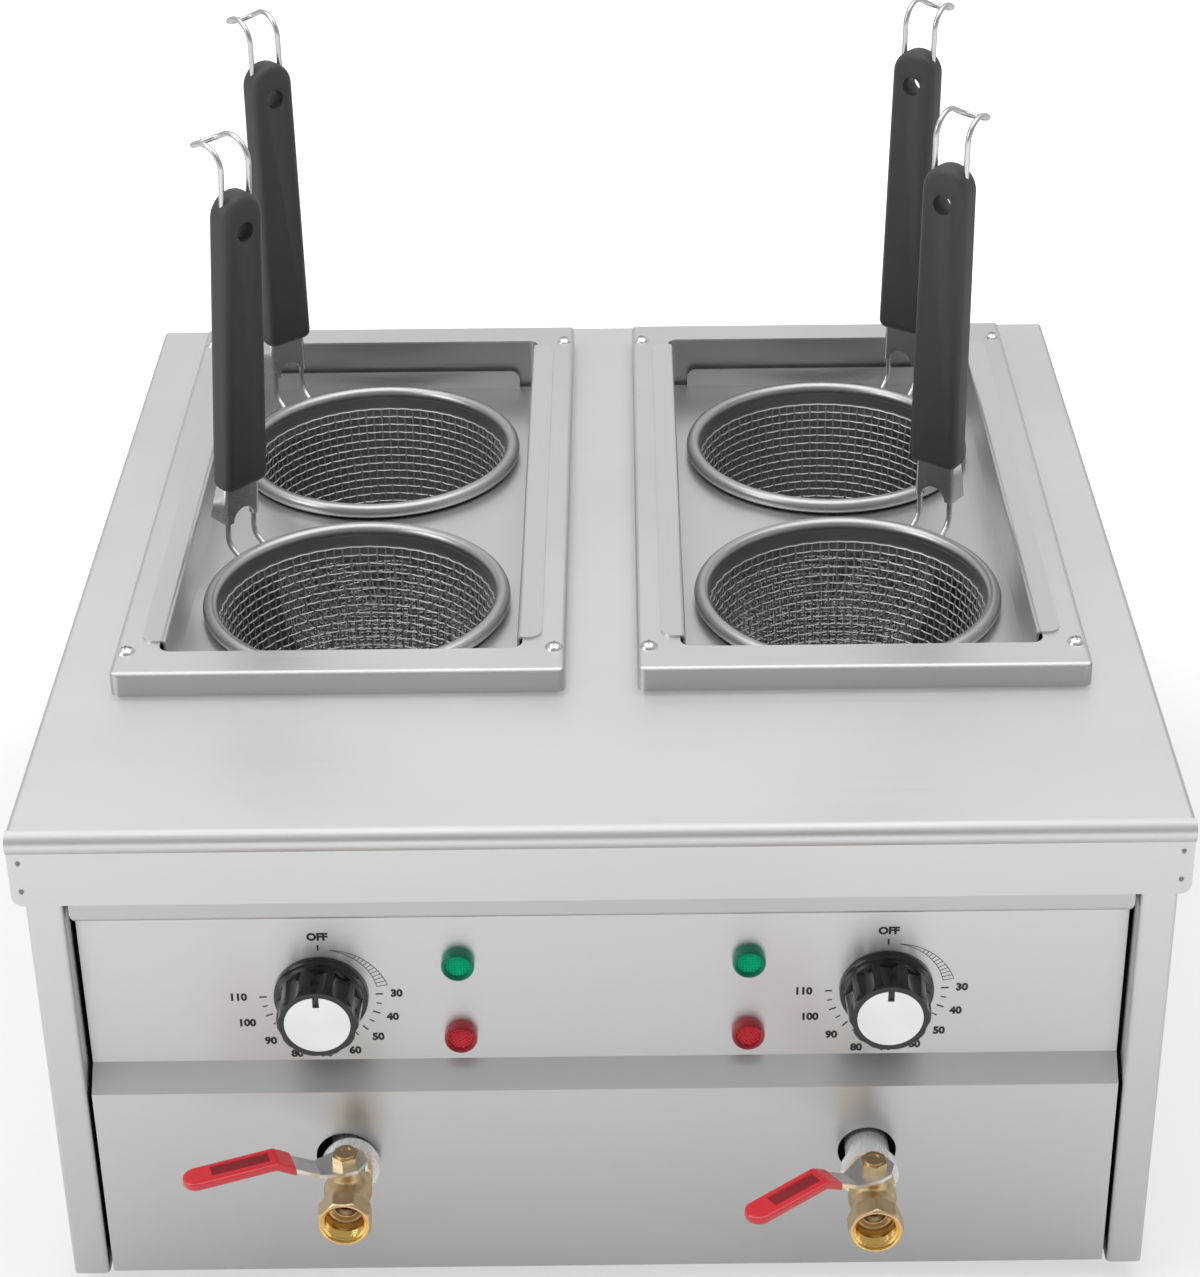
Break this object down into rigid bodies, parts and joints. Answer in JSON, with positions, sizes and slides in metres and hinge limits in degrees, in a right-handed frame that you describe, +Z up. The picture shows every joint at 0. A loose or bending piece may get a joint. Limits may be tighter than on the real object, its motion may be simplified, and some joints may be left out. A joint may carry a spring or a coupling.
{
  "type": "pasta cooker",
  "caption": "Counter electric pasta cooker: steel cabinet, side-by-side boiling tanks, lift-out wire baskets with upright grips, dial thermostats and lever drain valves.",
  "frame": {"origin": "middle of the overall box in X and Y, on the counter at the underside of the rubber feet", "axes": "+Z up, the controls face -Y, +X to the viewer's right"},
  "size_m": [0.54, 0.6496, 0.5025],
  "materials": {
    "body_steel": "satin stainless sheet",
    "tank_steel": "satin stainless sheet",
    "rack_steel": "bright stainless sheet",
    "screw_steel": "bright",
    "element_steel": "dull stainless tube",
    "copper": "dull copper",
    "white_plastic": "matt moulded",
    "green_lens": "clear moulded lens",
    "red_lens": "clear moulded lens",
    "pipe_steel": "turned",
    "brass": "cast and turned",
    "ball_chrome": "polished",
    "lever_steel": "plated",
    "red_vinyl": "dipped vinyl",
    "gland_plastic": "moulded",
    "foot_rubber": "moulded",
    "knob_plastic": "moulded",
    "cap_aluminium": "spun",
    "shaft_steel": "drawn",
    "rim_steel": "bright rolled",
    "mesh_steel": "woven wire",
    "wire_steel": "bright drawn",
    "clip_steel": "pressed",
    "grip_plastic": "moulded"
  },
  "bodies": {
    "body": {"top_plate": "body_steel", "left_side_panel": "body_steel", "right_side_panel": "body_steel", "back_panel": "body_steel", "base_plate": "body_steel", "front_panel": "body_steel", "front_rail": "body_steel", "tank_frame_left": "body_steel", "tank_frame_right": "body_steel", "tank_left": "tank_steel", "tank_right": "tank_steel", "frame_screws": "screw_steel", "panel_screws": "screw_steel", "heating_elements": "element_steel", "sensor_bulbs": "copper", "thermostats": "white_plastic", "terminal_block": "white_plastic", "power_lamps": "green_lens", "heat_lamps": "red_lens", "drain_pipes": "pipe_steel", "valve_body_left": "brass", "valve_body_right": "brass", "cable_gland": "gland_plastic", "rubber_feet": "foot_rubber"},
    "left_knob": {"knob_left": "knob_plastic", "knob_cap_left": "cap_aluminium", "thermostat_shaft_left": "shaft_steel"},
    "left_valve": {"valve_ball_left": "ball_chrome", "valve_stem_left": "brass", "lever_left": "lever_steel", "lever_sleeve_left": "red_vinyl"},
    "left_rack": {"rack_left": "rack_steel"},
    "right_knob": {"knob_right": "knob_plastic", "knob_cap_right": "cap_aluminium", "thermostat_shaft_right": "shaft_steel"},
    "right_valve": {"valve_ball_right": "ball_chrome", "valve_stem_right": "brass", "lever_right": "lever_steel", "lever_sleeve_right": "red_vinyl"},
    "right_rack": {"rack_right": "rack_steel"},
    "front_left_basket": {"basket_rim_front_left": "rim_steel", "basket_mesh_front_left": "mesh_steel", "handle_wire_front_left": "wire_steel", "handle_clip_front_left": "clip_steel", "grip_front_left": "grip_plastic"},
    "rear_left_basket": {"basket_rim_rear_left": "rim_steel", "basket_mesh_rear_left": "mesh_steel", "handle_wire_rear_left": "wire_steel", "handle_clip_rear_left": "clip_steel", "grip_rear_left": "grip_plastic"},
    "front_right_basket": {"basket_rim_front_right": "rim_steel", "basket_mesh_front_right": "mesh_steel", "handle_wire_front_right": "wire_steel", "handle_clip_front_right": "clip_steel", "grip_front_right": "grip_plastic"},
    "rear_right_basket": {"basket_rim_rear_right": "rim_steel", "basket_mesh_rear_right": "mesh_steel", "handle_wire_rear_right": "wire_steel", "handle_clip_rear_right": "clip_steel", "grip_rear_right": "grip_plastic"}
  },
  "joints": [
    {"name": "left_knob_turn", "type": "hinge", "parent": "body", "child": "left_knob", "pos_m": [-0.134, -0.22899, 0.172], "axis": [0, 1, 0], "range_deg": [0, 270]},
    {"name": "left_valve_turn", "type": "hinge", "parent": "body", "child": "left_valve", "pos_m": [-0.1235, -0.26519, 0.0836], "axis": [0, 0, 1], "range_deg": [-21, 69]},
    {"name": "left_rack_lift", "type": "slide", "parent": "body", "child": "left_rack", "axis": [0, 0, 1], "range_m": [0, 0.25]},
    {"name": "right_knob_turn", "type": "hinge", "parent": "body", "child": "right_knob", "pos_m": [0.134, -0.22899, 0.172], "axis": [0, 1, 0], "range_deg": [0, 270]},
    {"name": "right_valve_turn", "type": "hinge", "parent": "body", "child": "right_valve", "pos_m": [0.1265, -0.27419, 0.0836], "axis": [0, 0, 1], "range_deg": [-38, 52]},
    {"name": "right_rack_lift", "type": "slide", "parent": "body", "child": "right_rack", "axis": [0, 0, 1], "range_m": [0, 0.25]},
    {"name": "front_left_basket_lift", "type": "slide", "parent": "left_rack", "child": "front_left_basket", "axis": [0, 0, 1], "range_m": [0, 0.2]},
    {"name": "rear_left_basket_lift", "type": "slide", "parent": "left_rack", "child": "rear_left_basket", "axis": [0, 0, 1], "range_m": [0, 0.2]},
    {"name": "front_right_basket_lift", "type": "slide", "parent": "right_rack", "child": "front_right_basket", "axis": [0, 0, 1], "range_m": [0, 0.2]},
    {"name": "rear_right_basket_lift", "type": "slide", "parent": "right_rack", "child": "rear_right_basket", "axis": [0, 0, 1], "range_m": [0, 0.2]}
  ]
}
